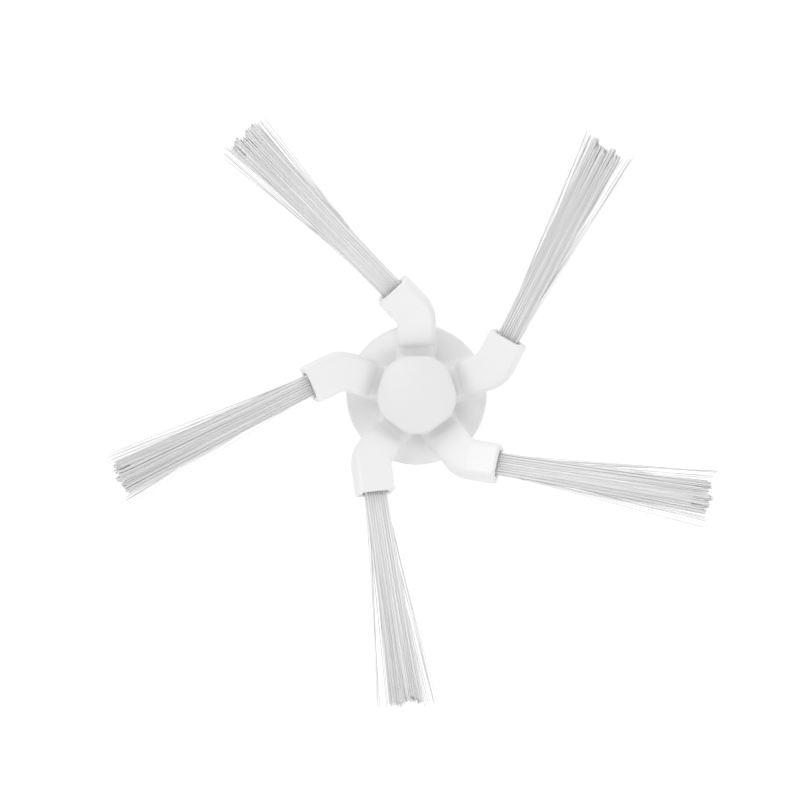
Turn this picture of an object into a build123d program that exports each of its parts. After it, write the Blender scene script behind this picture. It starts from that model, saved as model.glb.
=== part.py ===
from build123d import *
import os
from math import cos, pi, radians, sin, sqrt

# Side brush of a robot vacuum cleaner, in millimetres. Z is the axis that the brush turns about, with the side
# that faces the floor upwards. The origin is on that axis, in the plane of the flange's back edge. The first
# arm points along +Y.

# Flange, the domed shield between the robot and the arms
arm_count = 5
flange_radius = 18.0
flange_edge = 1.2
flange_dome_radius = 60.0
flange_wall = 1.6
rib_thickness = 1.4
rib_setback = 0.4

# Drive core, the rigid five-sided piece that takes the shaft. Its outlines have flats across the arms, and
# rounded corners that reach further out than the flats by the bulge.
head_flat = 9.65
head_bulge = 0.55
head_height = 3.6
head_dome_radius = 32.0
head_top_chamfer = 0.5
shaft_square = 7.0
shaft_corner = 0.8
shaft_roof = 2.1
shaft_lead_in = 0.6

# Collar of the soft moulding, which grips the core's stem below the head
head_overhang = 0.7
collar_wall = 2.3

# Spokes, the low bars that carry the arms. Their tops show as ledges between the head and the arms.
ledge_rise = 3.6
ledge_fillet = 0.4
ledge_to_head = 0.8
spoke_setback = 1.0

# Arm. It lies in a plane that slopes up from the flange. The pivot is the point on the arm's middle line, level
# with its inside corner, where the arm bends. The crown lets the top fall away from there towards the hub.
arm_slope = 21.5
arm_bend = 42.8
arm_width = 9.7
arm_thickness = 6.0
arm_over_spoke = 0.35
arm_pivot_overhang = 0.3
arm_lift = 1.0
arm_root_length = 5.9
arm_outer_length = 7.5
arm_crown_radius = 18.0
arm_crown_start = 0.4
arm_top_fillet = 1.4
arm_under_chamfer = 0.6
arm_corner_radius = 0.6
arm_mouth_chamfer = 0.3

# Socket in the mouth of each arm
socket_width = 6.5
socket_height = 3.2
socket_corner = 1.0
socket_depth = 6.0

# Bristle tuft. Its filaments are welded into a plug that fills the bottom of the socket, and fan out from it:
# most of them into a core, and the outermost further, as strays.
plug_length = 3.0
bristle_length = 60.5
bristle_diameter = 0.4
bristle_sides = 3
bristle_rows = 4
bristle_columns = 10
bristle_margin = 0.6
fan_width = 8.4
fan_height = 4.4
fan_stray = 3.2
fan_wobble = 0.15
length_wobble = 1.2

# Heights and outlines that follow from these
edge_reach = sqrt(flange_dome_radius**2 - flange_radius**2)
dome_centre = flange_edge - edge_reach
collar_flat = head_flat - head_overhang
stem_flat = collar_flat - collar_wall
collar_foot = dome_centre + sqrt(flange_dome_radius**2 - collar_flat**2)
ledge_height = collar_foot + ledge_rise
head_underside = ledge_height + ledge_to_head
head_top = head_underside + head_height
shaft_depth = head_top - shaft_roof
arm_pivot_radius = flange_radius + arm_pivot_overhang
arm_pivot_height = ledge_height + arm_lift
spoke_width = arm_width - 2 * arm_over_spoke
spoke_reach = flange_radius - spoke_setback
arm_step = 360 / arm_count
upwards = (Align.CENTER, Align.CENTER, Align.MIN)


def five_sided(flat):
    """Outline round the axis with a flat across each arm and the rounded corners of the bulge between them."""
    to_corner = 1 / cos(pi / arm_count)
    rounding = (flat * to_corner - flat - head_bulge) / (to_corner - 1)
    outline = RegularPolygon(flat, arm_count, major_radius=False, rotation=90 + arm_step / 2)
    return fillet(outline.vertices(), rounding)


def around(shape):
    """Copies of a shape, one at each arm."""
    return [Rot(Z=arm_step * place) * shape for place in range(arm_count)]


def lying_sphere(radius):
    """Sphere with its poles and its seam clear of the dome that it is cut for."""
    return Rot(Y=90) * Sphere(radius)


# Drive core: a domed head on a stem, with the square socket for the shaft in its back
head = Pos(Z=head_underside) * extrude(five_sided(head_flat), 2 * head_height)
head &= Pos(Z=head_top - head_dome_radius) * lying_sphere(head_dome_radius)
head = chamfer(head.faces().sort_by(Axis.Z)[-1].edges(), head_top_chamfer)
stem = extrude(five_sided(stem_flat), head_underside)
shaft_socket = extrude(RectangleRounded(shaft_square, shaft_square, shaft_corner), shaft_depth)
drive_core = head + stem - shaft_socket
shaft_mouth = drive_core.faces().sort_by(Axis.Z)[0].inner_wires()[0].edges()
drive_core = chamfer(shaft_mouth, shaft_lead_in)

# Frames of the first arm: its sloping plane, and in that plane the mouth, with Z out of it
slope = radians(arm_slope)
bend = radians(arm_bend)
arm_plane = Plane(
    origin=(0, arm_pivot_radius, arm_pivot_height),
    x_dir=(1, 0, 0),
    z_dir=(0, -sin(slope), cos(slope)),
)
half_width = arm_width / 2
inside_corner = Vector(-half_width, 0)
across = Vector(cos(bend), sin(bend))
along = Vector(-sin(bend), cos(bend))
mouth_middle = inside_corner + along * arm_outer_length + across * half_width
mouth_frame = Plane(origin=mouth_middle, x_dir=across, z_dir=along)

# Arm: an outline in the sloping plane, thickened both ways. The outside of the bend is an arc round the inside
# corner.
bend_start = Vector(half_width, 0)
bend_middle = inside_corner + Vector(cos(bend / 2), sin(bend / 2)) * arm_width
bend_end = inside_corner + across * arm_width
outline = Polyline(
    bend_start,
    Vector(half_width, -arm_root_length),
    Vector(-half_width, -arm_root_length),
    inside_corner,
    inside_corner + along * arm_outer_length,
    bend_end + along * arm_outer_length,
    bend_end,
)
outline += ThreePointArc(bend_end, bend_middle, bend_start)
arm_face = make_face(outline)
arm_face = fillet(arm_face.vertices().sort_by_distance(inside_corner)[0], arm_corner_radius)
arm = extrude(arm_face, arm_thickness / 2, both=True)

# The crown is a cylinder that touches the top across the root's outer end
inwards = (Align.CENTER, Align.MAX, Align.CENTER)
root_block = Box(2 * arm_width, 2 * arm_root_length, 2 * arm_thickness, align=inwards)
crown = Pos(Z=arm_thickness / 2 - arm_crown_radius) * Rot(Y=90) * Cylinder(arm_crown_radius, 4 * arm_width)
arm -= Pos(Y=-arm_crown_start) * (root_block - crown)


def runs_lengthwise(edge):
    """True for the edges along an arm's sides, and not for those round its ends or across its top."""
    small = 0.001
    tangent = edge.tangent_at(0.5)
    upright = abs(tangent.Z) > 1 - small
    across_root = abs(tangent.X) > 1 - small
    across_mouth = abs(tangent.dot(across)) > 1 - small
    return not (upright or across_root or across_mouth)


top_edges = arm.edges().filter_by(runs_lengthwise).filter_by_position(Axis.Z, 0, arm_thickness)
arm = fillet(top_edges, arm_top_fillet)
under_edges = arm.edges().filter_by(runs_lengthwise).filter_by_position(Axis.Z, -arm_thickness, 0)
arm = chamfer(under_edges, arm_under_chamfer)
mouth_face = arm.faces().sort_by_distance(mouth_middle)[0]
arm = chamfer(mouth_face.edges(), arm_mouth_chamfer)
socket_outline = RectangleRounded(socket_width, socket_height, socket_corner)
arm_socket = mouth_frame * extrude(socket_outline, -socket_depth)

# Soft moulding: the domed flange, with the collar, spokes and arms on it
flange = Cylinder(flange_radius, head_top, align=upwards)
flange &= Pos(Z=dome_centre) * lying_sphere(flange_dome_radius)
collar = extrude(five_sided(collar_flat), head_underside)
spoke = Pos(Y=spoke_reach / 2) * Box(spoke_width, spoke_reach, ledge_height, align=upwards)
spoke = fillet(spoke.edges().filter_by(Axis.Y).group_by(Axis.Z)[-1], ledge_fillet)
moulding = flange + collar + around(spoke) + around(arm_plane * arm)

# Holes in the moulding: the core's stem, the sockets for the tufts, and the hollow back between the ribs
moulding -= extrude(five_sided(stem_flat), head_underside)
moulding -= around(arm_plane * arm_socket)
hollow_radius = flange_radius - flange_wall
hollow = Cylinder(hollow_radius, 2 * head_top)
hollow &= Pos(Z=dome_centre) * lying_sphere(flange_dome_radius - flange_wall)
hollow -= extrude(five_sided(collar_flat), head_underside, both=True)
rib = Pos(Y=hollow_radius / 2, Z=rib_setback) * Box(rib_thickness, hollow_radius, head_top, align=upwards)
moulding -= hollow - around(rib)

# Bristle tuft in the first arm's mouth frame
plug = Pos(Z=-socket_depth) * extrude(socket_outline, plug_length)
root_reach = socket_width / 2 - bristle_margin - bristle_diameter / 2
root_rise = socket_height / 2 - bristle_margin - bristle_diameter / 2
bristle_outline = RegularPolygon(bristle_diameter / 2, bristle_sides)


def scatter(number, turn):
    """Even scatter between -1 and 1, different for each number and each turn."""
    return 2 * (number * turn % 1) - 1


bristles = []
for row in range(bristle_rows):
    height = 2 * row / (bristle_rows - 1) - 1
    row_count = bristle_columns - row % 2
    for column in range(row_count):
        side = (2 * column - row_count + 1) / (bristle_columns - 1)
        number = len(bristles) + 1
        tip_across = side * fan_width / 2 + side**5 * fan_stray + fan_wobble * scatter(number, sqrt(2))
        tip_height = height * fan_height / 2 + fan_wobble * scatter(number, sqrt(3))
        tip_length = bristle_length - socket_depth + length_wobble * scatter(number, sqrt(5))
        root = Vector(side * root_reach, height * root_rise, plug_length / 2 - socket_depth)
        run = Vector(tip_across, tip_height, tip_length) - root
        bristles.append(extrude(Plane(origin=root, z_dir=run) * bristle_outline, run.length))
tuft = arm_plane * mouth_frame * (plug + bristles)

os.makedirs("parts", exist_ok=True)
export_step(drive_core, "parts/drive_core.step")
export_step(moulding, "parts/arm_moulding.step")
for place, copy in enumerate(around(tuft), start=1):
    export_step(copy, f"parts/bristle_tuft_{place}.step")
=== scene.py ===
import math
import random

import bpy
import numpy as np
from mathutils import Matrix, Vector


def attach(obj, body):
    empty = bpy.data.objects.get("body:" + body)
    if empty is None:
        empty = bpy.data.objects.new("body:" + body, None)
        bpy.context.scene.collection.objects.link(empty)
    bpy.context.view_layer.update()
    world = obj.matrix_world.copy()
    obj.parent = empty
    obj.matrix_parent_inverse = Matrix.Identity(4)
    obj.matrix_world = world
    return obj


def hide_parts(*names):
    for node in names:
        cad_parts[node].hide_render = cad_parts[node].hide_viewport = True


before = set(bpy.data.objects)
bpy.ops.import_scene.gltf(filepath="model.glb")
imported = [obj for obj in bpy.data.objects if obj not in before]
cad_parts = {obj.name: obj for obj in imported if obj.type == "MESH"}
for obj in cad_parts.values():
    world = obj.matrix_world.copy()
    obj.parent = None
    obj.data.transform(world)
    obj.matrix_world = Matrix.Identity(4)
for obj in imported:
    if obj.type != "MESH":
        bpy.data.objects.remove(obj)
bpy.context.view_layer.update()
bpy.context.scene.view_settings.view_transform = "Standard"


# Drive core: the rigid five-sided cap, with the stem and the square socket for the robot's shaft behind it.
# It is injection moulded in white plastic from a spark-eroded mould, so its skin has a fine matte grain and
# its edges are rounded.
core_grid = 0.00017
core_passes = 9
core_white = (0.765, 0.765, 0.77)
core_roughness = 0.4
core_grain_per_metre = 5200.0
core_grain_depth = 0.000003

# How the mesh of a moulded piece is merged and smoothed
merge_distance = 1e-6
smooth_factor = 0.5

# How a moulded skin varies: clouds and specks in its white, patches in its gloss, and the grain of its mould
cloud_per_metre = 140.0
cloud_detail = 3.0
cloud_share = 0.75
speck_per_metre = 2600.0
speck_detail = 1.0
dull_share = 0.965
gloss_per_metre = 900.0
gloss_range = 0.08
grain_detail = 3.0


def select_only(piece):
    """Leaves one object selected and active, for the operators that come next."""
    bpy.ops.object.select_all(action="DESELECT")
    piece.select_set(True)
    bpy.context.view_layer.objects.active = piece


def even_copy(node, name, grid):
    """A copy of a CAD node's shape, made of one even grid of faces."""
    piece = bpy.data.objects.new(name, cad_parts[node].data.copy())
    bpy.context.scene.collection.objects.link(piece)
    select_only(piece)
    bpy.ops.object.mode_set(mode="EDIT")
    bpy.ops.mesh.select_all(action="SELECT")
    bpy.ops.mesh.remove_doubles(threshold=merge_distance)
    bpy.ops.object.mode_set(mode="OBJECT")
    remesh = piece.modifiers.new("even_grid", "REMESH")
    remesh.mode = "VOXEL"
    remesh.voxel_size = grid
    bpy.ops.object.modifier_apply(modifier=remesh.name)
    piece.data.materials.clear()
    return piece


def soften(piece, passes, group=""):
    """Rounds the edges of an even grid by smoothing it, all over or in one vertex group."""
    select_only(piece)
    smooth = piece.modifiers.new("soft_edges", "SMOOTH")
    smooth.factor = smooth_factor
    smooth.iterations = passes
    smooth.vertex_group = group
    bpy.ops.object.modifier_apply(modifier=smooth.name)
    bpy.ops.object.shade_smooth()


class Wire:
    """A socket in a material's or the world's nodes. Arithmetic on wires adds Math nodes."""

    def __init__(self, socket):
        self.socket = socket

    def node(self, kind, settings, inputs, output=0):
        """Adds a node with these settings and inputs, and gives the wire from one of its outputs."""
        added = self.socket.id_data.nodes.new(kind)
        for setting, value in settings.items():
            setattr(added, setting, value)
        for place, value in inputs.items():
            if isinstance(value, Wire):
                value.to(added.inputs[place])
            else:
                added.inputs[place].default_value = value
        return Wire(added.outputs[output])

    def to(self, socket):
        """Feeds a node's input with this wire."""
        self.socket.id_data.links.new(self.socket, socket)

    def math(self, operation, first, second):
        """The wire from a Math node on two wires or numbers."""
        return self.node("ShaderNodeMath", {"operation": operation}, {0: first, 1: second})

    def __add__(self, other):
        return self.math("ADD", self, other)

    def __radd__(self, other):
        return self.math("ADD", other, self)

    def __sub__(self, other):
        return self.math("SUBTRACT", self, other)

    def __rsub__(self, other):
        return self.math("SUBTRACT", other, self)

    def __mul__(self, other):
        return self.math("MULTIPLY", self, other)

    def __rmul__(self, other):
        return self.math("MULTIPLY", other, self)

    def noise(self, per_metre, detail=2.0):
        """Noise between 0 and 1 at the places that this wire carries."""
        return self.node("ShaderNodeTexNoise", {}, {"Vector": self, "Scale": per_metre, "Detail": detail})

    def blend(self, low, high):
        """A colour between two, by this wire's value."""
        colours = {"Factor": self, 6: (*low, 1), 7: (*high, 1)}
        return self.node("ShaderNodeMix", {"data_type": "RGBA"}, colours, output=2)


def new_finish(name):
    """A material, its shader, and the wire of places on the piece, in metres."""
    material = bpy.data.materials.new(name)
    material.use_nodes = True
    nodes = material.node_tree.nodes
    places = Wire(nodes.new("ShaderNodeTexCoord").outputs["Object"])
    return material, nodes["Principled BSDF"], places


def moulded_finish(name, white, roughness, grain_per_metre, grain_depth):
    """A white moulded skin with the grain of its mould, an uneven gloss, and a trace of cloudiness."""
    material, shader, places = new_finish(name)
    cloud = places.noise(cloud_per_metre, cloud_detail)
    speck = places.noise(speck_per_metre, speck_detail)
    dull = tuple(dull_share * part for part in white)
    mottle = cloud * cloud_share + speck * (1 - cloud_share)
    mottle.blend(dull, white).to(shader.inputs["Base Color"])
    gloss = places.noise(gloss_per_metre) * gloss_range + (roughness - gloss_range / 2)
    gloss.to(shader.inputs["Roughness"])
    grain = places.noise(grain_per_metre, grain_detail)
    bump = {"Height": grain, "Strength": 1.0, "Distance": grain_depth}
    places.node("ShaderNodeBump", {}, bump).to(shader.inputs["Normal"])
    return material


core = even_copy("drive_core", "core_cap", core_grid)
soften(core, core_passes)
core_plastic = moulded_finish(
    "satin_white_plastic", core_white, core_roughness, core_grain_per_metre, core_grain_depth
)
core.data.materials.append(core_plastic)
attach(core, "root")
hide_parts("drive_core")


# Soft moulding: the domed flange, the collar that grips the core, and the five bent arms, all one piece. It
# is moulded over the core in white thermoplastic rubber. Its inside corners run into each other in fillets,
# and each arm has a faint fold where its straight outer part begins.
moulding_grid = 0.00029
moulding_passes = 12
moulding_white = (0.8, 0.8, 0.8)
moulding_roughness = 0.3
moulding_grain_per_metre = 4200.0
moulding_grain_depth = 0.000002
moulding_scatter = 0.05
moulding_scatter_reach = 0.0006

# Arms, as in the solids: each lies in a sloping plane, and bends in that plane at its pivot
arm_count = 5
arm_slope = math.radians(21.5)
arm_bend = math.radians(42.8)
arm_pivot = Vector((0.0, 0.0183, 0.007892))
arm_half_width = 0.00485
arm_root_length = 0.0059

# Root ends of the arms, between two radii and above a height, where the edges are rounded most
root_inner = 0.0107
root_outer = 0.0146
root_foot = 0.0055
root_passes = 30

# Fold: how steeply the top falls away on the hub's side, how deep that reaches, and the stretch that it takes
fold_drop = math.tan(math.radians(5.0))
fold_skin = 0.0015
fold_half_width = 1.1 * arm_half_width
fold_root_length = 1.05 * arm_root_length

# Groove in the flange round the collar. The flange is told by a height and by how far its skin faces up.
groove_depth = 0.0012
groove_inner = 0.0095
groove_outer = 0.014
groove_top = 0.0042
groove_slant = 0.5

# Ledges, the tops of the spokes between the cap and the arms
ledge_height = 0.006892
ledge_root = 0.0091
ledge_inner = 0.0094
ledge_outer = 0.0126
ledge_rounding = 0.0004
ledge_sink = 0.0007

# Fillets: the share of the way to its neighbours that a vertex in an inside corner rises in one pass
fillet_passes = 180
fillet_step = 0.5
ledge_fillet_step = 0.15

# The first arm's sloping plane, the turn to each arm, and the directions across and along the outer part
arm_frame = Matrix.Translation(arm_pivot) @ Matrix.Rotation(arm_slope, 4, "X")
arm_turns = [Matrix.Rotation(2 * math.pi * place / arm_count, 4, "Z") for place in range(arm_count)]
across = Vector((math.cos(arm_bend), math.sin(arm_bend), 0.0))
along = Vector((-math.sin(arm_bend), math.cos(arm_bend), 0.0))
inside_corner = Vector((-arm_half_width, 0.0, 0.0))


def vertex_values(mesh, name):
    """One row of three numbers for each vertex of a mesh: its co or its normal."""
    values = np.empty(3 * len(mesh.vertices))
    mesh.vertices.foreach_get(name, values)
    return values.reshape(-1, 3)


def move_vertices(mesh, places):
    """Puts each vertex of a mesh at its row of places."""
    mesh.vertices.foreach_set("co", places.ravel())
    mesh.update()


def press_groove(mesh):
    """Presses a shallow groove into the flange round the foot of the collar."""
    places = vertex_values(mesh, "co")
    outward = vertex_values(mesh, "normal")
    radius = np.hypot(places[:, 0], places[:, 1])
    nearness = 1 - np.clip((radius - groove_inner) / (groove_outer - groove_inner), 0, 1)
    on_flange = (outward[:, 2] > groove_slant) & (places[:, 2] < groove_top)
    places[:, 2] -= np.where(on_flange, groove_depth * nearness**2, 0)
    move_vertices(mesh, places)


def round_ledge(mesh, turn):
    """Sinks and rounds the top of a spoke between the cap and the arm."""
    places = vertex_values(mesh, "co")
    local = places @ np.array(turn.to_3x3())
    lengthwise = np.clip((local[:, 1] - ledge_inner) / (ledge_outer - ledge_inner), 0, 1)
    upwards = np.clip((local[:, 2] - groove_top) / (ledge_height - groove_top), 0, 1)
    on_ledge = (np.abs(local[:, 0]) < arm_half_width) & (local[:, 2] < ledge_height + ledge_rounding)
    on_ledge &= (local[:, 1] > ledge_root) & (local[:, 1] < ledge_outer)
    drop = upwards * (ledge_sink + ledge_rounding * (2 * lengthwise - 1) ** 2)
    places[:, 2] -= np.where(on_ledge, drop, 0)
    move_vertices(mesh, places)


def fill_corners(mesh):
    """Fills inside corners with fillets, smaller ones on the ledges, and leaves outside edges as they are."""
    places = vertex_values(mesh, "co")
    outward = vertex_values(mesh, "normal")
    step = np.where(places[:, 2] < ledge_height - ledge_rounding, fillet_step, ledge_fillet_step)
    ends = np.empty(2 * len(mesh.edges), dtype=int)
    mesh.edges.foreach_get("vertices", ends)
    first, second = ends.reshape(-1, 2).T
    count = len(places)
    neighbours = np.bincount(ends, minlength=count)
    for fillet_pass in range(fillet_passes):
        rise = np.zeros(count)
        for axis in range(3):
            here = places[:, axis]
            around = np.bincount(first, here[second], count) + np.bincount(second, here[first], count)
            rise += (around / neighbours - here) * outward[:, axis]
        places += (step * np.maximum(rise, 0))[:, None] * outward
    move_vertices(mesh, places)


def fold_arm(mesh, frame_of_arm):
    """Lets the top of an arm fall away a little more steeply on the hub's side of its fold."""
    to_arm = np.array(frame_of_arm.inverted())
    places = vertex_values(mesh, "co")
    local = places @ to_arm[:3, :3].T + to_arm[:3, 3]
    inward = -(local - np.array(inside_corner)) @ np.array(along)
    on_arm = (np.abs(local[:, 0]) < fold_half_width) & (local[:, 1] > -fold_root_length)
    skin = np.clip(local[:, 2] / fold_skin, 0, 1)
    drop = np.where(on_arm, fold_drop * np.maximum(inward, 0) * skin, 0)
    places -= drop[:, None] * np.array(frame_of_arm.to_3x3().col[2])
    move_vertices(mesh, places)


def mark_roots(piece):
    """Puts the root ends of the arms and the ledges beside them into a vertex group."""
    places = vertex_values(piece.data, "co")
    radius = np.hypot(places[:, 0], places[:, 1])
    marked = (radius > root_inner) & (radius < root_outer) & (places[:, 2] > root_foot)
    roots = piece.vertex_groups.new(name="roots")
    roots.add(np.flatnonzero(marked).tolist(), 1.0, "REPLACE")
    return roots


moulding = even_copy("arm_moulding", "soft_arms", moulding_grid)
press_groove(moulding.data)
for turn in arm_turns:
    round_ledge(moulding.data, turn)
fill_corners(moulding.data)
soften(moulding, moulding_passes)
for turn in arm_turns:
    fold_arm(moulding.data, turn @ arm_frame)
soften(moulding, root_passes, mark_roots(moulding).name)
moulding.vertex_groups.clear()
soft_rubber = moulded_finish(
    "satin_white_rubber", moulding_white, moulding_roughness, moulding_grain_per_metre, moulding_grain_depth
)
rubber_shader = soft_rubber.node_tree.nodes["Principled BSDF"]
rubber_shader.inputs["Subsurface Weight"].default_value = moulding_scatter
rubber_shader.inputs["Subsurface Radius"].default_value = (1.0, 1.0, 1.0)
rubber_shader.inputs["Subsurface Scale"].default_value = moulding_scatter_reach
moulding.data.materials.append(soft_rubber)
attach(moulding, "root")
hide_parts("arm_moulding")


# Bristle tufts: some three hundred nylon filaments each, which part into a few bunches towards the tips,
# with some strays beside them. Their roots are welded into a plug, which is pressed into the socket in the
# mouth of each arm. The heart of a tuft, where filaments lie too close to be told apart, is one body.
mouth_reach = 0.0075
tuft_seed = 40

# Plug and heart. The heart's root and tip are halves of its width and height at either end.
plug_size = (0.0064, 0.0031, 0.003)
plug_corner = 0.0009
plug_middle = -0.0045
heart_root = Vector((0.0025, 0.0007))
heart_tip = Vector((0.0034, 0.0011))
heart_reach = 0.0505
heart_corner = 0.0004
heart_shade = 0.8
corner_segments = 4

# All filaments: how far they reach, how uneven their tips are, and how much they wave on the way there
tip_reach = 0.0547
tip_unevenness = 0.0008
wave = 0.00008
waving_shares = (0.33, 0.66)

# Filaments in layers. At the root they gather in strands of one shade each, and at the tip in bunches. Across
# and up, a place in a tuft runs from -1 to 1, and the halves of its width and height turn that into metres.
layer_count = 5
layer_size = 62
layer_jitter = (0.3, 0.7)
column_jitter = (0.1, 0.9)
filament_radius = 0.00008
radius_range = (0.85, 1.1)
strand_count = 9
strand_spread = 0.6
strand_shades = (0.7, 1.0)
bunch_count = 5
bunch_spread = 0.86
bunch_scatter = 0.25
bunch_lean = 0.03
bunch_unevenness = 0.0016
tip_scatter = 0.04
middle_scatter = 0.5
root_half = Vector((0.0028, 0.0011))
fan_half = Vector((0.0043, 0.0018))
core_flare = 2.0

# Strays, which leave the tuft on either side, nearly straight
stray_count = 18
stray_radius = 0.00008
stray_reach = (0.0045, 0.0076)
stray_heights = (-1.0, 0.0)
stray_roots = (0.2, 0.9)
stray_shades = (0.6, 1.0)
stray_flare = 1.0

# Nylon
nylon_dark = (0.5, 0.5, 0.5)
nylon_pale = (0.84, 0.84, 0.84)
nylon_gloss_per_metre = 1500.0
nylon_least_roughness = 0.25
nylon_gloss_range = 0.2
nylon_ior = 1.53

# The frame of the first arm's mouth: X across it, Y up, Z out of it
mouth_frame = Matrix((-across, Vector((0.0, 0.0, 1.0)), along)).transposed().to_4x4()
mouth_frame.translation = inside_corner + along * mouth_reach + across * arm_half_width


def round_corners(piece, corner):
    """Rounds every edge of a block."""
    select_only(piece)
    bpy.ops.object.mode_set(mode="EDIT")
    bpy.ops.mesh.select_all(action="SELECT")
    bpy.ops.mesh.bevel(offset=corner, segments=corner_segments)
    bpy.ops.object.mode_set(mode="OBJECT")


def set_shades(mesh, shades):
    """Gives each vertex a number between 0, dark, and 1, pale, which the nylon's colour follows."""
    strand = mesh.attributes.new("strand", "FLOAT", "POINT")
    strand.data.foreach_set("value", shades)


def filament_points(draw, root, tip, flare, shortfall):
    """The control points of a filament, from its weld in the plug to its tip."""
    reach = tip_reach - shortfall + draw.uniform(-tip_unevenness, tip_unevenness)
    points = [(root.x, root.y, plug_middle), (root.x, root.y, 0.0)]
    for share in waving_shares:
        between = root.lerp(tip, share**flare)
        between += Vector((draw.gauss(0, wave), draw.gauss(0, wave)))
        points.append((between.x, between.y, reach * share))
    points.append((tip.x, tip.y, reach))
    return points


def filament_ends(draw):
    """Root, tip, flare, shortfall, radius and shade of each filament: the layers first, then the strays."""
    strands = [(2 * strand + 1) / strand_count - 1 for strand in range(strand_count)]
    bunches = [
        (2 * bunch + 1 + draw.uniform(-bunch_scatter, bunch_scatter)) / bunch_count - 1
        for bunch in range(bunch_count)
    ]
    shades = [draw.uniform(*strand_shades) for strand in strands]
    shortfalls = [draw.uniform(0, bunch_unevenness) for bunch in bunches]
    ends = []
    for layer in range(layer_count):
        leans = [draw.gauss(0, bunch_lean) for bunch in bunches]
        for column in range(layer_size):
            side = 2 * (column + draw.uniform(*column_jitter)) / layer_size - 1
            height = 2 * (layer + draw.uniform(*layer_jitter)) / layer_count - 1
            strand = min(range(strand_count), key=lambda each: abs(strands[each] - side))
            bunch = min(range(bunch_count), key=lambda each: abs(bunches[each] - side))
            rooted = strands[strand] + (side - strands[strand]) * strand_spread
            fanned = bunches[bunch] + (side - bunches[bunch]) * bunch_spread + leans[bunch]
            fanned += draw.gauss(0, tip_scatter * (middle_scatter + side * side))
            root = Vector((rooted * root_half.x, height * root_half.y))
            tip = Vector((fanned * fan_half.x, height * fan_half.y))
            radius = filament_radius * draw.uniform(*radius_range)
            ends.append((root, tip, core_flare, shortfalls[bunch], radius, shades[strand]))
    for stray in range(stray_count):
        side = 1 if stray % 2 else -1
        height = draw.uniform(*stray_heights)
        root = Vector((side * draw.uniform(*stray_roots) * root_half.x, height * root_half.y))
        tip = Vector((side * draw.uniform(*stray_reach), height * fan_half.y))
        ends.append((root, tip, stray_flare, 0.0, stray_radius, draw.uniform(*stray_shades)))
    return ends


def bristle_tuft(name, seed):
    """The filaments of one tuft in the mouth's frame, each with its shade.

    The curve's bevel is 1, so that the radius at a point is the filament's own, in metres.
    """
    draw = random.Random(seed)
    curve = bpy.data.curves.new(name, "CURVE")
    curve.dimensions = "3D"
    curve.bevel_depth = 1.0
    curve.bevel_resolution = 1
    curve.use_fill_caps = True
    curve.resolution_u = 2
    shades = []
    for root, tip, flare, shortfall, radius, shade in filament_ends(draw):
        points = filament_points(draw, root, tip, flare, shortfall)
        spline = curve.splines.new("NURBS")
        spline.points.add(len(points) - 1)
        for point, place in zip(spline.points, points):
            point.co = (*place, 1.0)
            point.radius = radius
        spline.use_endpoint_u = True
        spline.order_u = 4
        shades.append(shade)
    tuft = bpy.data.objects.new(name, curve)
    bpy.context.scene.collection.objects.link(tuft)
    select_only(tuft)
    bpy.ops.object.convert(target="MESH")
    tuft = bpy.context.view_layer.objects.active
    set_shades(tuft.data, np.repeat(shades, len(tuft.data.vertices) // len(shades)))
    return tuft


def bristle_finish():
    """Pale nylon with an uneven gloss, a little darker in some strands than in others."""
    material, shader, places = new_finish("pale_nylon")
    strand = places.node("ShaderNodeAttribute", {"attribute_name": "strand"}, {}, output="Fac")
    strand.blend(nylon_dark, nylon_pale).to(shader.inputs["Base Color"])
    gloss = places.noise(nylon_gloss_per_metre) * nylon_gloss_range + nylon_least_roughness
    gloss.to(shader.inputs["Roughness"])
    shader.inputs["IOR"].default_value = nylon_ior
    return material


# Plug, a block with rounded corners
bpy.ops.object.select_all(action="DESELECT")
bpy.ops.mesh.primitive_cube_add(size=1.0, location=(0.0, 0.0, plug_middle), scale=plug_size)
plug = bpy.context.object
bpy.ops.object.transform_apply()
round_corners(plug, plug_corner)

# Heart, which starts as a cube from -1 to 1 and is drawn out from the plug to near the tips
bpy.ops.object.select_all(action="DESELECT")
bpy.ops.mesh.primitive_cube_add(size=2.0)
heart = bpy.context.object
for corner in heart.data.vertices:
    half = heart_tip if corner.co.z > 0 else heart_root
    reach = heart_reach if corner.co.z > 0 else plug_middle
    corner.co = (corner.co.x * half.x, corner.co.y * half.y, reach)
round_corners(heart, heart_corner)
set_shades(heart.data, [heart_shade] * len(heart.data.vertices))

# One tuft for each arm, with a copy of the plug and of the heart joined into it
nylon = bristle_finish()
for place, turn in enumerate(arm_turns, start=1):
    tuft = bristle_tuft(f"nylon_tuft_{place}", tuft_seed + place)
    for body in (plug, heart):
        joined = body.copy()
        joined.data = body.data.copy()
        bpy.context.scene.collection.objects.link(joined)
        joined.select_set(True)
    bpy.context.view_layer.objects.active = tuft
    bpy.ops.object.join()
    bpy.ops.object.shade_smooth_by_angle()
    tuft.data.transform(turn @ arm_frame @ mouth_frame)
    tuft.data.materials.append(nylon)
    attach(tuft, "root")
    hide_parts(f"bristle_tuft_{place}")
bpy.data.objects.remove(plug)
bpy.data.objects.remove(heart)


# Studio: a floor that glows a little, so that it shows white, a large soft lamp on the upper left, a weaker
# one on the lower right, and a room whose light is stronger near the horizon. The camera looks down on the
# side that sweeps.
floor_size = 3.0
floor_grey = (0.45, 0.45, 0.45, 1)
floor_glow = 0.66
horizon_strength = 2.25
zenith_strength = 0.22
plain_white = (1, 1, 1, 1)

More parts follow.
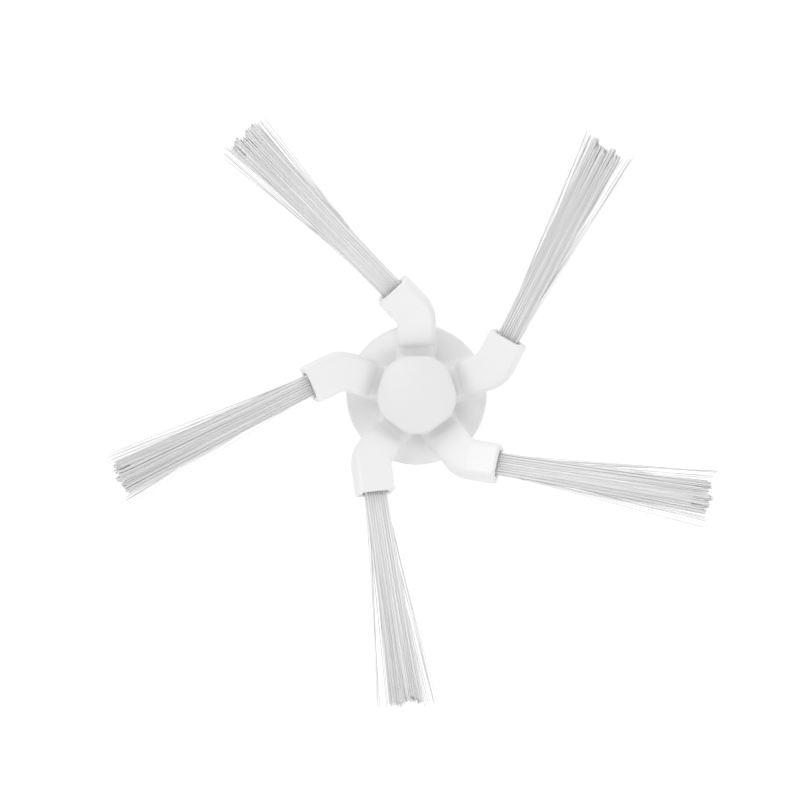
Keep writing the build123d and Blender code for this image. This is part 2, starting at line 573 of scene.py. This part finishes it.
# Lamps: their directions from the hub, the sides of their squares in metres, and their powers in watts
lamp_distance = 0.9
main_azimuth = math.radians(126)
main_elevation = math.radians(56)
main_size = 0.35
main_power = 1.35
side_azimuth = math.radians(-60)
side_elevation = math.radians(44)
side_size = 0.45
side_power = 0.85

# Camera, with its lens in millimetres and the point that it is aimed at
camera_distance = 0.8
camera_lens = 140.4
camera_elevation = math.radians(89)
camera_aim = Vector((-0.00423, -0.00136, 0.0))


def seen_rays(nodes):
    """The wire that is 1 for rays that show the background: from the camera, by gloss and through glass."""
    paths = nodes.new("ShaderNodeLightPath").outputs
    return Wire(paths["Is Camera Ray"]) + Wire(paths["Is Glossy Ray"]) + Wire(paths["Is Transmission Ray"])


def soft_lamp(name, azimuth, elevation, size, power):
    """A square soft lamp that looks at the hub."""
    lamp = bpy.data.lights.new(name, "AREA")
    lamp.size = size
    lamp.energy = power
    stand = bpy.data.objects.new(name, lamp)
    side = math.cos(elevation) * lamp_distance
    height = math.sin(elevation) * lamp_distance
    stand.location = (side * math.cos(azimuth), side * math.sin(azimuth), height)
    stand.rotation_euler = (-stand.location).to_track_quat("-Z", "Y").to_euler()
    bpy.context.scene.collection.objects.link(stand)


bpy.ops.object.select_all(action="DESELECT")
bpy.ops.mesh.primitive_plane_add(size=floor_size)
floor = bpy.context.object
floor.name = "studio_floor"
floor_paint = bpy.data.materials.new("white_floor")
floor_paint.use_nodes = True
floor_nodes = floor_paint.node_tree.nodes
floor_nodes.remove(floor_nodes["Principled BSDF"])
seen = seen_rays(floor_nodes)
glow = seen.node("ShaderNodeEmission", {}, {"Color": plain_white, "Strength": seen * floor_glow})
matte = seen.node("ShaderNodeBsdfDiffuse", {}, {"Color": floor_grey})
both = seen.node("ShaderNodeAddShader", {}, {0: glow, 1: matte})
both.to(floor_nodes["Material Output"].inputs["Surface"])
floor.data.materials.append(floor_paint)

world = bpy.data.worlds.new("soft_room")
world.use_nodes = True
room_nodes = world.node_tree.nodes
backdrop = room_nodes["Background"]
backdrop.inputs["Color"].default_value = plain_white
shown = seen_rays(room_nodes)
sky = Wire(room_nodes.new("ShaderNodeTexCoord").outputs["Generated"])
sky_height = sky.node("ShaderNodeSeparateXYZ", {}, {0: sky}, output=2)
sky_light = sky_height * (zenith_strength - horizon_strength) + horizon_strength
(shown + (1 - shown) * sky_light).to(backdrop.inputs["Strength"])
bpy.context.scene.world = world

soft_lamp("main_lamp", main_azimuth, main_elevation, main_size, main_power)
soft_lamp("side_lamp", side_azimuth, side_elevation, side_size, side_power)

camera = bpy.data.objects.new("camera", bpy.data.cameras.new("camera"))
camera.data.lens = camera_lens
away = Vector((0.0, -math.cos(camera_elevation), math.sin(camera_elevation)))
camera.location = camera_aim + away * camera_distance
camera.rotation_euler = (math.pi / 2 - camera_elevation, 0.0, 0.0)
bpy.context.scene.collection.objects.link(camera)
bpy.context.scene.camera = camera
